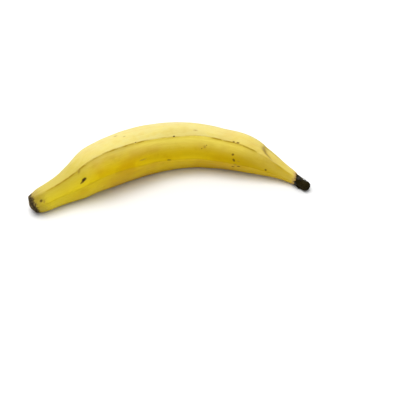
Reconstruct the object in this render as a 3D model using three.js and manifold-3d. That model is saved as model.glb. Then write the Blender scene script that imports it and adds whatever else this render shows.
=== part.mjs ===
// A ripe plantain, picked from its hand and lying on its side.
// Millimetres. +X runs from the cut stem end to the dried blossom tip, +Y points out of the fruit's
// curve, away from its hollow side, and +Z is up. The fruit rests on the plane Z = 0, and the origin
// is the middle of its footprint.
//
// The fruit grew in one piece, so it is one solid: a five-sided tube on a curved middle line, with a
// slender neck that ends in a cut face, and a short tapered end that carries the dried blossom.
import * as THREE from "three";
import { mergeVertices } from "three/addons/utils/BufferGeometryUtils.js";
import Module from "manifold-3d";

// The middle line and the girth, from the cut face to the tip.
// girth is the radius out to the ridges, and facet is how far the middle of a face lies under them,
// as a share of the girth.
const STATIONS = [
  { x: -132.4, y: -34.5, z: 7.2, girth: 9.2, facet: 0.12 },
  { x: -122.2, y: -31.3, z: 10.2, girth: 11.8, facet: 0.12 },
  { x: -105.2, y: -23.0, z: 12.7, girth: 13.5, facet: 0.12 },
  { x: -88.2, y: -14.3, z: 15.8, girth: 17.6, facet: 0.12 },
  { x: -67.2, y: -3.5, z: 22.0, girth: 22.8, facet: 0.1 },
  { x: -39.2, y: 11.2, z: 21.5, girth: 24.5, facet: 0.1 },
  { x: -5.2, y: 22.4, z: 20.9, girth: 23.5, facet: 0.1 },
  { x: 28.8, y: 23.2, z: 19.6, girth: 22.1, facet: 0.1 },
  { x: 55.8, y: 16.2, z: 18.0, girth: 19.9, facet: 0.1 },
  { x: 76.8, y: 6.4, z: 17.3, girth: 18.0, facet: 0.1 },
  { x: 94.8, y: -4.3, z: 13.8, girth: 13.2, facet: 0.11 },
  { x: 110.8, y: -14.9, z: 8.9, girth: 8.2, facet: 0.12 },
  { x: 122.8, y: -25.0, z: 5.6, girth: 5.7, facet: 0.12 },
  { x: 132.9, y: -37.0, z: 4.3, girth: 5.0, facet: 0.1 },
];

// Angles round the fruit are in degrees: 0 faces the hollow side, 90 is up, 270 is down.
const RIDGE_ANGLES = [0, 64, 138, 225, 305];
// How flat each face is, from the one between the first two ridges on.
const FACE_SHARES = [0.75, 1.0, 1.25, 1.1, 0.7];
const CREST_ROUNDING = 0.1;
// The ridges twist a little round the neck: by this many degrees, fading out between two distances.
const NECK_TWIST = 8;
const NECK_TWIST_START = 45;
const NECK_TWIST_END = 100;
// The first ridge starts further up the hollow side and drifts down to its own angle.
const RIDGE_DRIFT = 10;
const RIDGE_DRIFT_START = 90;
const RIDGE_DRIFT_END = 165;
// The second ridge, the upper one, sags towards the hollow side along the fruit's middle.
const RIDGE_SAG = 5.5;
const RIDGE_SAG_PLACE = 149;
const RIDGE_SAG_WIDTH = 30;

// The slow unevenness of a grown skin: waves that wind round the fruit, each with its height, its
// length along the fruit for one radian, and its turns round it.
const WAVES = [
  { height: 0.28, length: 15, turns: 2, phase: 0 },
  { height: 0.2, length: 8.5, turns: -3, phase: 1.3 },
  { height: 0.14, length: 27, turns: 5, phase: 0.6 },
];
// Where the fruit is thinner than this, the waves are lower in proportion.
const FULL_WAVE_GIRTH = 20;

// The cut at the stem end: its edge is rounded over this length, in to this share of the girth.
const CUT_ROUNDING = 5;
const CUT_SHARE = 0.8;
// How far the rings and the middle of the cut face bulge out past its edge.
const CUT_BULGES = [1.2, 2.1, 2.4];
// The ragged edge of the cut wanders in and out by shares of the girth, over this length of the neck.
const RAGGED_LENGTH = 7;
const RAGGED_WAVES = [
  { share: 0.05, turns: 3, phase: 0.4 },
  { share: 0.03, turns: 7, phase: 2 },
];

// The crescent fold where the body's shoulder overhangs the upper face of the blossom end.
const FOLD_START = 241;
const FOLD_DRAW = 14;
const FOLD_DEPTH = 1.3;
const FOLD_WIDTH = 3;
const FOLD_END = 284;
const FOLD_LOW_ANGLE = 56;
const FOLD_HIGH_ANGLE = 144;
// Over how many degrees the fold fades in from either side.
const FOLD_SIDE = 14;

// The dried blossom: a shrunken, knobbly stub on the last stretch of the fruit.
const TIP_LENGTH = 18;
const TIP_ROUNDING = 3;
const TIP_SHARE = 0.72;
const TIP_BULGES = [0.5, 0.1, -0.5];
// The waist lies at this share of the stub's length, and draws the girth in by this share of it.
const WAIST_PLACE = 0.22;
const WAIST_WIDTH = 0.12;
const WAIST_DEPTH = 0.05;
// The knobs grow to their full height between two shares of the length, and twist along it.
const KNOB_START = 0.1;
const KNOB_FULL = 0.45;
const KNOB_HEIGHT = 0.1;
const KNOB_WAVES = [
  { turns: 3, twist: 2.2, phase: 0 },
  { turns: 2, twist: -5, phase: 2.37 },
];

// The solid's resolution: strips across each face, and the spacing of the rings along the fruit.
const FACE_STEPS = 9;
const RING_SPACING = 4.6;
const END_RING_SPACING = 0.9;
const RING_GROWTH = 0.14;
const CAP_RINGS = [0.7, 0.35];

const GROUND_DEPTH = 20;
const GROUND_SIZE = 400;
// Vertices closer together than this are one.
const MERGE_DISTANCE = 1e-4;

const middleLine = new THREE.CatmullRomCurve3(
  STATIONS.map((station) => new THREE.Vector3(station.x, station.y, station.z)),
  false,
  "catmullrom",
);
middleLine.arcLengthDivisions = 3000;
const fruitLength = middleLine.getLength();

// The girth and the facet follow the same kind of curve, so they pass smoothly through each station.
const sectionCurve = new THREE.CatmullRomCurve3(
  STATIONS.map((station) => new THREE.Vector3(station.girth, station.facet, 0)),
  false,
  "catmullrom",
);

function smoothStep(value, low, high) {
  return THREE.MathUtils.smoothstep(value, low, high);
}

// Where the fruit is at a distance along it: its middle, its three directions, and its section.
function frameAt(distance) {
  const share = THREE.MathUtils.clamp(distance / fruitLength, 0, 1);
  const parameter = middleLine.getUtoTmapping(share);
  const centre = middleLine.getPoint(parameter);
  const along = middleLine.getTangent(parameter);
  const up = new THREE.Vector3(0, 0, 1).addScaledVector(along, -along.z).normalize();
  const front = new THREE.Vector3().crossVectors(along, up);
  const section = sectionCurve.getPoint(parameter);
  return { centre, along, up, front, girth: section.x, facet: section.y };
}

// The angles of the ridges at a distance along the fruit.
function ridgesAt(distance) {
  const twist = NECK_TWIST * (1 - smoothStep(distance, NECK_TWIST_START, NECK_TWIST_END));
  const drift = RIDGE_DRIFT * (1 - smoothStep(distance, RIDGE_DRIFT_START, RIDGE_DRIFT_END));
  const sag = RIDGE_SAG * Math.exp(-(((distance - RIDGE_SAG_PLACE) / RIDGE_SAG_WIDTH) ** 2));
  const moves = [drift, -sag, 0, 0, 0];
  return RIDGE_ANGLES.map((angle, index) => angle + twist + moves[index]);
}

// How far under the ridges the skin lies at an angle: 0 on a ridge, about 1 in the middle of a face.
function faceDip(angle, ridges) {
  const degrees = ridges[0] + THREE.MathUtils.euclideanModulo(angle - ridges[0], 360);
  const face = ridges.findLastIndex((ridge) => ridge <= degrees);
  const start = ridges[face];
  const end = ridges[face + 1] ?? ridges[0] + 360;
  const across = (2 * degrees - start - end) / (end - start);
  const bow = 1 - across * across;
  const rounded = Math.sqrt(bow * bow + CREST_ROUNDING * CREST_ROUNDING) - CREST_ROUNDING;
  return rounded * FACE_SHARES[face];
}

// A quarter ellipse that draws the girth in to a share of itself at an end of the fruit.
function endRounding(distanceFromEnd, length, share) {
  const reach = THREE.MathUtils.clamp(distanceFromEnd / length, 0, 1);
  return share + (1 - share) * Math.sqrt(1 - (1 - reach) ** 2);
}

// Depth of the recess behind the crescent fold, in millimetres.
function foldRecess(distance, angle) {
  const across = smoothStep(angle, FOLD_LOW_ANGLE, FOLD_HIGH_ANGLE);
  const window = smoothStep(angle, FOLD_LOW_ANGLE, FOLD_LOW_ANGLE + FOLD_SIDE) *
    (1 - smoothStep(angle, FOLD_HIGH_ANGLE - FOLD_SIDE, FOLD_HIGH_ANGLE));
  const edge = FOLD_START + FOLD_DRAW * (1 - across) ** 3;
  const fade = 1 - smoothStep(distance, edge + FOLD_WIDTH, FOLD_END);
  return FOLD_DEPTH * window * fade * smoothStep(distance, edge, edge + FOLD_WIDTH);
}

// How far the waves lift the skin, in millimetres.
function undulation(distance, radians) {
  return WAVES.reduce((sum, wave) =>
    sum + wave.height * Math.sin(distance / wave.length + wave.turns * radians + wave.phase), 0);
}

// The dried blossom has a waist where it leaves the peel, and blunt knobs that twist along it.
function tipShape(distance, radians) {
  const reach = (distance - (fruitLength - TIP_LENGTH)) / TIP_LENGTH;
  if (reach <= 0) {
    return 1;
  }
  const waist = WAIST_DEPTH * Math.exp(-(((reach - WAIST_PLACE) / WAIST_WIDTH) ** 2));
  const knobs = KNOB_WAVES.reduce((product, wave) =>
    product * Math.sin(wave.turns * radians + wave.twist * reach + wave.phase), KNOB_HEIGHT);
  return 1 - waist + smoothStep(reach, KNOB_START, KNOB_FULL) * knobs;
}

// The cut edge is ragged: it wanders in and out a little round the neck.
function cutShape(distance, radians) {
  const nearness = 1 - smoothStep(distance, 0, RAGGED_LENGTH);
  const wander = RAGGED_WAVES.reduce((sum, wave) =>
    sum + wave.share * Math.sin(wave.turns * radians + wave.phase), 0);
  return 1 + nearness * wander;
}

// How far the skin lies from the middle line, at an angle round the fruit.
function skinRadius(distance, degrees, frame, ridges) {
  const radians = THREE.MathUtils.degToRad(degrees);
  const ends = endRounding(distance, CUT_ROUNDING, CUT_SHARE) *
    endRounding(fruitLength - distance, TIP_ROUNDING, TIP_SHARE);
  const faceted = frame.girth * ends * (1 - frame.facet * faceDip(degrees, ridges));
  const evenness = Math.min(1, frame.girth / FULL_WAVE_GIRTH);
  return faceted * tipShape(distance, radians) * cutShape(distance, radians) +
    evenness * undulation(distance, radians) - foldRecess(distance, degrees);
}

function skinPoint(frame, degrees, radius, forward = 0) {
  const radians = THREE.MathUtils.degToRad(degrees);
  return frame.centre.clone()
    .addScaledVector(frame.front, radius * Math.cos(radians))
    .addScaledVector(frame.up, radius * Math.sin(radians))
    .addScaledVector(frame.along, forward);
}

// Every face is divided alike, so that each ridge runs along a line of vertices.
function anglesRound(ridges) {
  return ridges.flatMap((start, face) => {
    const end = ridges[face + 1] ?? ridges[0] + 360;
    return Array.from({ length: FACE_STEPS }, (_, step) => start + ((end - start) * step) / FACE_STEPS);
  });
}

// The rings lie close together at both ends and further apart along the body.
function distancesAlong() {
  const distances = [0];
  let distance = 0;
  while (distance < fruitLength) {
    const fromEnd = Math.min(distance, fruitLength - distance);
    distance += Math.min(RING_SPACING, END_RING_SPACING + RING_GROWTH * fromEnd);
    distances.push(distance);
  }
  const stretch = fruitLength / distance;
  return distances.map((value) => value * stretch);
}

// One ring of points at a distance, drawn in to a share of the skin's radius and pushed forward.
function ringAt(distance, share = 1, forward = 0) {
  const frame = frameAt(distance);
  const ridges = ridgesAt(distance);
  return anglesRound(ridges).map((angle) =>
    skinPoint(frame, angle, share * skinRadius(distance, angle, frame, ridges), forward));
}

// Rings and a middle point that close an end, each pushed along the fruit by its own amount:
// forward is positive, towards the tip.
function capRings(edgeDistance, pushes) {
  const frame = frameAt(edgeDistance);
  const rings = CAP_RINGS.map((share, index) => ringAt(edgeDistance, share, pushes[index]));
  const middle = skinPoint(frame, 0, 0, pushes[CAP_RINGS.length]);
  return { rings, middle };
}

// One closed surface: the cut face, the skin, and the blunt end of the dried blossom.
function fruitGeometry() {
  const cut = capRings(0, CUT_BULGES.map((bulge) => -bulge));
  const tip = capRings(fruitLength, TIP_BULGES);
  const skin = distancesAlong().map((distance) => ringAt(distance));
  const rings = [...cut.rings.toReversed(), ...skin, ...tip.rings];
  const count = RIDGE_ANGLES.length * FACE_STEPS;
  const positions = [...rings.flat(), cut.middle, tip.middle].flatMap((point) => point.toArray());
  const first = rings.length * count;
  const last = first + 1;
  const faces = [];
  for (let ring = 0; ring + 1 < rings.length; ring += 1) {
    for (let side = 0; side < count; side += 1) {
      const next = (side + 1) % count;
      const near = ring * count;
      const far = near + count;
      faces.push(near + side, far + side, near + next);
      faces.push(near + next, far + side, far + next);
    }
  }
  const end = (rings.length - 1) * count;
  for (let side = 0; side < count; side += 1) {
    const next = (side + 1) % count;
    faces.push(first, side, next);
    faces.push(last, end + next, end + side);
  }
  return new THREE.BufferGeometry()
    .setAttribute("position", new THREE.Float32BufferAttribute(positions, 3))
    .setIndex(faces);
}

function solidFrom(wasm, geometry) {
  geometry.deleteAttribute("normal");
  geometry.deleteAttribute("uv");
  const merged = mergeVertices(geometry, MERGE_DISTANCE);
  return new wasm.Manifold(new wasm.Mesh({
    numProp: 3,
    vertProperties: merged.attributes.position.array,
    triVerts: new Uint32Array(merged.index.array),
  }));
}

function geometryFrom(solid) {
  const mesh = solid.getMesh();
  return new THREE.BufferGeometry()
    .setAttribute("position", new THREE.BufferAttribute(mesh.vertProperties, 3))
    .setIndex(new THREE.BufferAttribute(mesh.triVerts, 1));
}

// The fruit's weight has pressed small flats into its skin where it rests on the surface.
function restOnSurface(wasm, geometry) {
  const ground = new THREE.BoxGeometry(GROUND_SIZE, GROUND_SIZE, GROUND_DEPTH)
    .translate(0, 0, -GROUND_DEPTH / 2);
  return geometryFrom(solidFrom(wasm, geometry).subtract(solidFrom(wasm, ground)));
}

async function makePlantain() {
  const wasm = await Module();
  wasm.setup();
  const peel = new THREE.MeshStandardMaterial({ color: 0xd9bb35, roughness: 0.48, metalness: 0 });
  const plantain = new THREE.Mesh(restOnSurface(wasm, fruitGeometry()), peel);
  plantain.name = "plantain";
  const fruit = new THREE.Group();
  fruit.add(plantain);
  return fruit;
}

export default await makePlantain();
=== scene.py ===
"""A ripe plantain, picked whole, that lies on its side on a pale surface under soft light.

The fruit is one grown piece, so its skin is one fine mesh: an angular body with five ridges, a slender
neck that ends in a dried cut, and a tapered end that carries the black remains of the blossom. Frayed
strands at the cut and dried shreds at the tip are thin pieces of their own. All sizes are in metres,
all angles round the fruit in degrees: 0 faces the hollow of its curve, 90 is up and 270 is down.
"""
import logging
import math
import random
from collections.abc import Callable, Mapping
from dataclasses import dataclass, field
from enum import Enum

import bpy
import numpy as np
from mathutils import Matrix, Vector, noise


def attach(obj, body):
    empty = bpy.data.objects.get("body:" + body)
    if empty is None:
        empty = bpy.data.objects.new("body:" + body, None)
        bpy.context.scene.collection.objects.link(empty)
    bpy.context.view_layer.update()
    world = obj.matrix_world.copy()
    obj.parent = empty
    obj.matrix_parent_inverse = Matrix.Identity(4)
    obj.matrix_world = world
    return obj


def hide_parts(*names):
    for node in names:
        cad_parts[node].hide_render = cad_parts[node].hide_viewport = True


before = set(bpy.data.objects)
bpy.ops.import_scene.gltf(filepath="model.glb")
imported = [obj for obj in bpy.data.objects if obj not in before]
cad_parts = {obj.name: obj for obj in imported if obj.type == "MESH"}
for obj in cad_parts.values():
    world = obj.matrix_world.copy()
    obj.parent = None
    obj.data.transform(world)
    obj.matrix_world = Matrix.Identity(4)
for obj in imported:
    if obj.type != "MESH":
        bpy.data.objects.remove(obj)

LOG = logging.getLogger("plantain")
FULL_TURN = 360.0
Z_AXIS = np.array([0.0, 0.0, 1.0])
# How far every piece stays above the floor.
FLOOR_GAP = 0.0001
# How fast the finer layers of roughness weaken, and how much finer each one is.
ROUGH_FALL = 1.0
ROUGH_STEP = 2.0
NODE = "plantain"
BODY = "root"

Colour = tuple[float, float, float, float]
Triple = tuple[float, float, float]
Socket = bpy.types.NodeSocket
Feed = float | tuple[float, ...] | Socket
# Lumps of roughness: the width of the largest ones, how many finer layers there are, and the shift.
Lumps = tuple[float, int, float]
# Clouds in a finish: the width of the lumps, then how fine and how rough they are.
Cloud = tuple[float, ...]
# Two ends of a value and, where they aren't 0 and 1, what comes out at each of them.
Ramp = tuple[float, ...]
# The stretch over which something comes in, and the one over which it goes out.
Reach = tuple[tuple[float, float], tuple[float, float]]


def paint(red: int, green: int, blue: int) -> Colour:
    """Turns a display colour into the linear one that a shader takes.

    Args:
        red: the red part, 0 to 255.
        green: the green part, 0 to 255.
        blue: the blue part, 0 to 255.

    Returns:
        The linear colour, opaque.
    """
    parts = [value / 255 for value in (red, green, blue)]
    linear = [part / 12.92 if part <= 0.04045 else ((part + 0.055) / 1.055) ** 2.4 for part in parts]
    return (*linear, 1.0)


def smooth_step(values: np.ndarray, low: float | np.ndarray, high: float | np.ndarray) -> np.ndarray:
    """Rises smoothly from 0 at low to 1 at high.

    Args:
        values: where to read the step.
        low: where it starts to rise.
        high: where it reaches 1.

    Returns:
        The height of the step at each value.
    """
    share = np.clip((values - low) / (high - low), 0.0, 1.0)
    return share * share * (3.0 - 2.0 * share)


def rough(places: np.ndarray, size: float, octaves: int, shift: float) -> np.ndarray:
    """Reads fractal noise at many places.

    Args:
        places: one row of coordinates for each place.
        size: the width of the largest lumps.
        octaves: how many finer layers are added.
        shift: moves the pattern, so that two readings differ.

    Returns:
        One value for each place, about -1 to 1.
    """
    offset = Vector((shift, 2.0 * shift, -shift))
    scaled = (Vector(place) / size + offset for place in places)
    return np.array([noise.fractal(place, ROUGH_FALL, ROUGH_STEP, octaves) for place in scaled])


def unit(rows: np.ndarray) -> np.ndarray:
    """Scales each row to length 1."""
    return rows / np.linalg.norm(rows, axis=-1, keepdims=True)


def straightened(spread: np.ndarray, radians: np.ndarray, distance: np.ndarray) -> np.ndarray:
    """Gives places as they would be if the fruit were straight, with its length along z."""
    return np.stack([spread * np.cos(radians), spread * np.sin(radians), distance], axis=1)


@dataclass(frozen=True)
class Station:
    """A place on the fruit's middle line.

    girth is the radius out to the ridges, and facet is how far the middle of a face lies under them, as
    a share of the girth.
    """

    x: float
    y: float
    z: float
    girth: float
    facet: float


@dataclass(frozen=True)
class Wave:
    """One slow wave in the skin: its height, its length along the fruit, and how it winds round."""

    height: float
    length: float
    turns: int
    phase: float


@dataclass(frozen=True)
class RoundWave:
    """One wave round the fruit: its height as a share of the radius, and how it twists along a stub."""

    share: float
    turns: int
    phase: float
    twist: float = 0.0


@dataclass(frozen=True)
class Sections:
    """The fruit's middle, directions and section at many distances along it."""

    centre: np.ndarray
    along: np.ndarray
    up: np.ndarray
    front: np.ndarray
    girth: np.ndarray
    facet: np.ndarray

    def outward(self, radians: np.ndarray) -> np.ndarray:
        """Gives the direction out of the fruit at one angle for each section."""
        return np.cos(radians)[:, None] * self.front + np.sin(radians)[:, None] * self.up


@dataclass
class FruitForm:
    """The main form of the fruit: a five-sided tube on a curved middle line, as the solid has it."""

    stations: tuple[Station, ...] = (
        Station(-0.1324, -0.0345, 0.0072, 0.0092, 0.12),
        Station(-0.1222, -0.0313, 0.0102, 0.0118, 0.12),
        Station(-0.1052, -0.0230, 0.0127, 0.0135, 0.12),
        Station(-0.0882, -0.0143, 0.0158, 0.0176, 0.12),
        Station(-0.0672, -0.0035, 0.0220, 0.0228, 0.10),
        Station(-0.0392, 0.0112, 0.0215, 0.0245, 0.10),
        Station(-0.0052, 0.0224, 0.0209, 0.0235, 0.10),
        Station(0.0288, 0.0232, 0.0196, 0.0221, 0.10),
        Station(0.0558, 0.0162, 0.0180, 0.0199, 0.10),
        Station(0.0768, 0.0064, 0.0173, 0.0180, 0.10),
        Station(0.0948, -0.0043, 0.0138, 0.0132, 0.11),
        Station(0.1108, -0.0149, 0.0089, 0.0082, 0.12),
        Station(0.1228, -0.0250, 0.0056, 0.0057, 0.12),
        Station(0.1329, -0.0370, 0.0043, 0.0050, 0.10),
    )
    ridge_angles: tuple[float, ...] = (0.0, 64.0, 138.0, 225.0, 305.0)
    face_shares: tuple[float, ...] = (0.75, 1.0, 1.25, 1.1, 0.7)
    crest_rounding: float = 0.1
    neck_twist: float = 8.0
    neck_twist_start: float = 0.045
    neck_twist_end: float = 0.100
    ridge_drift: float = 10.0
    ridge_drift_start: float = 0.090
    ridge_drift_end: float = 0.165
    ridge_sag: float = 5.5
    ridge_sag_place: float = 0.149
    ridge_sag_width: float = 0.030
    cut_rounding: float = 0.005
    cut_share: float = 0.8
    tip_rounding: float = 0.003
    tip_share: float = 0.72
    tip_length: float = 0.018
    waist_place: float = 0.22
    waist_width: float = 0.12
    waist_depth: float = 0.05
    knob_start: float = 0.1
    knob_full: float = 0.45
    knob_waves: tuple[RoundWave, ...] = (RoundWave(0.1, 3, 0.0, 2.2), RoundWave(1.0, 2, 2.37, -5.0))
    ragged_length: float = 0.007
    ragged_waves: tuple[RoundWave, ...] = (RoundWave(0.05, 3, 0.4), RoundWave(0.03, 7, 2.0))
    fold_start: float = 0.241
    fold_draw: float = 0.014
    fold_depth: float = 0.0013
    fold_width: float = 0.003
    fold_end: float = 0.284
    fold_low_angle: float = 56.0
    fold_high_angle: float = 144.0
    fold_side: float = 14.0
    waves: tuple[Wave, ...] = (
        Wave(0.00028, 0.015, 2, 0.0),
        Wave(0.00020, 0.0085, -3, 1.3),
        Wave(0.00014, 0.027, 5, 0.6),
    )
    full_wave_girth: float = 0.020
    curve_steps: int = 3001
    length: float = field(init=False, default=0.0)

    def __post_init__(self) -> None:
        """Measures the middle line, so that places on it can be found by distance."""
        rows = np.array([[s.x, s.y, s.z, s.girth, s.facet] for s in self.stations])
        before = 2.0 * rows[0] - rows[1]
        after = 2.0 * rows[-1] - rows[-2]
        self._knots = np.vstack([before, rows, after])
        self._steps = np.linspace(0.0, len(rows) - 1.0, self.curve_steps)
        path = self._curve(self._steps)[0][:, :3]
        lengths = np.linalg.norm(np.diff(path, axis=0), axis=1)
        self._reach = np.concatenate([[0.0], np.cumsum(lengths)])
        self.length = float(self._reach[-1])

    def _curve(self, steps: np.ndarray) -> tuple[np.ndarray, np.ndarray]:
        """Passes a smooth curve through the stations.

        Args:
            steps: places on the curve, counted in stations.

        Returns:
            The curve's rows of x, y, z, girth and facet, and their slopes.
        """
        whole = np.clip(np.floor(steps), 0, len(self.stations) - 2).astype(int)
        t = (steps - whole)[:, None]
        before, start, end, after = (self._knots[whole + step] for step in range(4))
        leave = (end - before) / 2.0
        arrive = (after - start) / 2.0
        cubic = 2.0 * start - 2.0 * end + leave + arrive
        square = -3.0 * start + 3.0 * end - 2.0 * leave - arrive
        place = cubic * t**3 + square * t**2 + leave * t + start
        return place, 3.0 * cubic * t**2 + 2.0 * square * t + leave

    def sections(self, distance: np.ndarray) -> Sections:
        """Finds the middle, the directions and the section at distances along the fruit.

        Args:
            distance: how far along the middle line each place is, from the cut.

        Returns:
            The sections, one row for each distance.
        """
        rows, slopes = self._curve(np.interp(distance, self._reach, self._steps))
        along = unit(slopes[:, :3])
        up = unit(Z_AXIS - along * along[:, 2:3])
        front = np.cross(along, up)
        return Sections(rows[:, :3], along, up, front, rows[:, 3], rows[:, 4])

    def ridges(self, distance: np.ndarray) -> np.ndarray:
        """Finds the angles of the ridges: they twist round the neck, the first drifts, the next sags.

        Args:
            distance: distances along the fruit.

        Returns:
            One row of angles for each distance, with the first ridge once more at the end, a turn on.
        """
        twist = self.neck_twist * (1.0 - smooth_step(distance, self.neck_twist_start, self.neck_twist_end))
        drifted = smooth_step(distance, self.ridge_drift_start, self.ridge_drift_end)
        drift = self.ridge_drift * (1.0 - drifted)
        sag = self.ridge_sag * np.exp(-(((distance - self.ridge_sag_place) / self.ridge_sag_width) ** 2))
        rows = np.array([*self.ridge_angles, self.ridge_angles[0] + FULL_TURN]) + twist[:, None]
        rows[:, 0] += drift
        rows[:, 1] -= sag
        rows[:, -1] += drift
        return rows

    def face_dip(self, angle: np.ndarray, distance: np.ndarray) -> np.ndarray:
        """Measures how far under the ridges the skin lies: 0 on a ridge, about 1 in mid-face.

        Args:
            angle: angles round the fruit, in degrees.
            distance: distances along it.

        Returns:
            The dip at each place.
        """
        ridges = self.ridges(distance)
        degrees = ridges[:, 0] + np.mod(angle - ridges[:, 0], FULL_TURN)
        face = np.maximum((degrees[:, None] >= ridges[:, :-1]).sum(axis=1) - 1, 0)
        row = np.arange(len(face))
        start, end = ridges[row, face], ridges[row, face + 1]
        across = (2.0 * degrees - start - end) / (end - start)
        bow = 1.0 - across * across
        rounded = np.sqrt(bow * bow + self.crest_rounding**2) - self.crest_rounding
        return rounded * np.array(self.face_shares)[face]

    def fold_edge(self, angle: np.ndarray) -> np.ndarray:
        """Gives how far along the fruit the crescent fold lies at each angle."""
        across = smooth_step(angle, self.fold_low_angle, self.fold_high_angle)
        return self.fold_start + self.fold_draw * (1.0 - across) ** 3

    def fold_window(self, angle: np.ndarray) -> np.ndarray:
        """Gives 1 on the faces that the fold crosses and 0 elsewhere, with soft sides."""
        rise = smooth_step(angle, self.fold_low_angle, self.fold_low_angle + self.fold_side)
        fall = smooth_step(angle, self.fold_high_angle - self.fold_side, self.fold_high_angle)
        return rise * (1.0 - fall)

    def fold_recess(self, distance: np.ndarray, angle: np.ndarray) -> np.ndarray:
        """Measures how far the skin drops behind the crescent fold.

        Args:
            distance: distances along the fruit.
            angle: angles round it, in degrees.

        Returns:
            The depth of the recess.
        """
        edge = self.fold_edge(angle)
        drop = smooth_step(distance, edge, edge + self.fold_width)
        fade = 1.0 - smooth_step(distance, edge + self.fold_width, self.fold_end)
        return self.fold_depth * self.fold_window(angle) * fade * drop

    def tip_reach(self, distance: np.ndarray) -> np.ndarray:
        """Gives 0 where the dried blossom starts and 1 at its end."""
        return np.clip((distance - (self.length - self.tip_length)) / self.tip_length, 0.0, 1.0)

    def tip_shape(self, distance: np.ndarray, radians: np.ndarray) -> np.ndarray:
        """Shrinks and knobs the dried blossom.

        Args:
            distance: distances along the fruit.
            radians: angles round it.

        Returns:
            The share by which the radius changes.
        """
        reach = self.tip_reach(distance)
        waist = self.waist_depth * np.exp(-(((reach - self.waist_place) / self.waist_width) ** 2))
        knobs = smooth_step(reach, self.knob_start, self.knob_full)
        for wave in self.knob_waves:
            knobs = knobs * wave.share * np.sin(wave.turns * radians + wave.twist * reach + wave.phase)
        return 1.0 - waist * (reach > 0.0) + knobs

    def cut_shape(self, distance: np.ndarray, radians: np.ndarray) -> np.ndarray:
        """Lets the ragged edge of the cut wander in and out round the neck."""
        wander = sum(wave.share * np.sin(wave.turns * radians + wave.phase) for wave in self.ragged_waves)
        return 1.0 + wander * (1.0 - smooth_step(distance, 0.0, self.ragged_length))

    def radius(self, distance: np.ndarray, angle: np.ndarray, sections: Sections) -> np.ndarray:
        """Measures the fruit from its middle line out to its skin.

        Args:
            distance: distances along the fruit.
            angle: angles round it, in degrees.
            sections: the sections at those distances.

        Returns:
            The radius at each place.
        """
        radians = np.radians(angle)
        cut = np.clip(distance / self.cut_rounding, 0.0, 1.0)
        tip = np.clip((self.length - distance) / self.tip_rounding, 0.0, 1.0)
        ends = self.cut_share + (1.0 - self.cut_share) * np.sqrt(1.0 - (1.0 - cut) ** 2)
        ends = ends * (self.tip_share + (1.0 - self.tip_share) * np.sqrt(1.0 - (1.0 - tip) ** 2))
        dip = self.face_dip(angle, distance)
        faceted = sections.girth * ends * (1.0 - sections.facet * dip)
        slow = sum(
            wave.height * np.sin(distance / wave.length + wave.turns * radians + wave.phase)
            for wave in self.waves
        )
        evenness = np.minimum(1.0, sections.girth / self.full_wave_girth)
        shaped = faceted * self.tip_shape(distance, radians) * self.cut_shape(distance, radians)
        return shaped + evenness * slow - self.fold_recess(distance, angle)


class MarkKind(Enum):
    """What a mark on the peel is, which sets its colour."""

    SCAR = "scar"
    SPOT = "spot"
    SMEAR = "smear"


@dataclass(frozen=True)
class Mark:
    """A mark on the peel: where it is, how large, how it is turned, and how deep it is sunk."""

    kind: MarkKind
    distance: float
    angle: float
    half_length: float
    half_width: float
    turn: float = 0.0
    pit: float = 0.0


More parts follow.
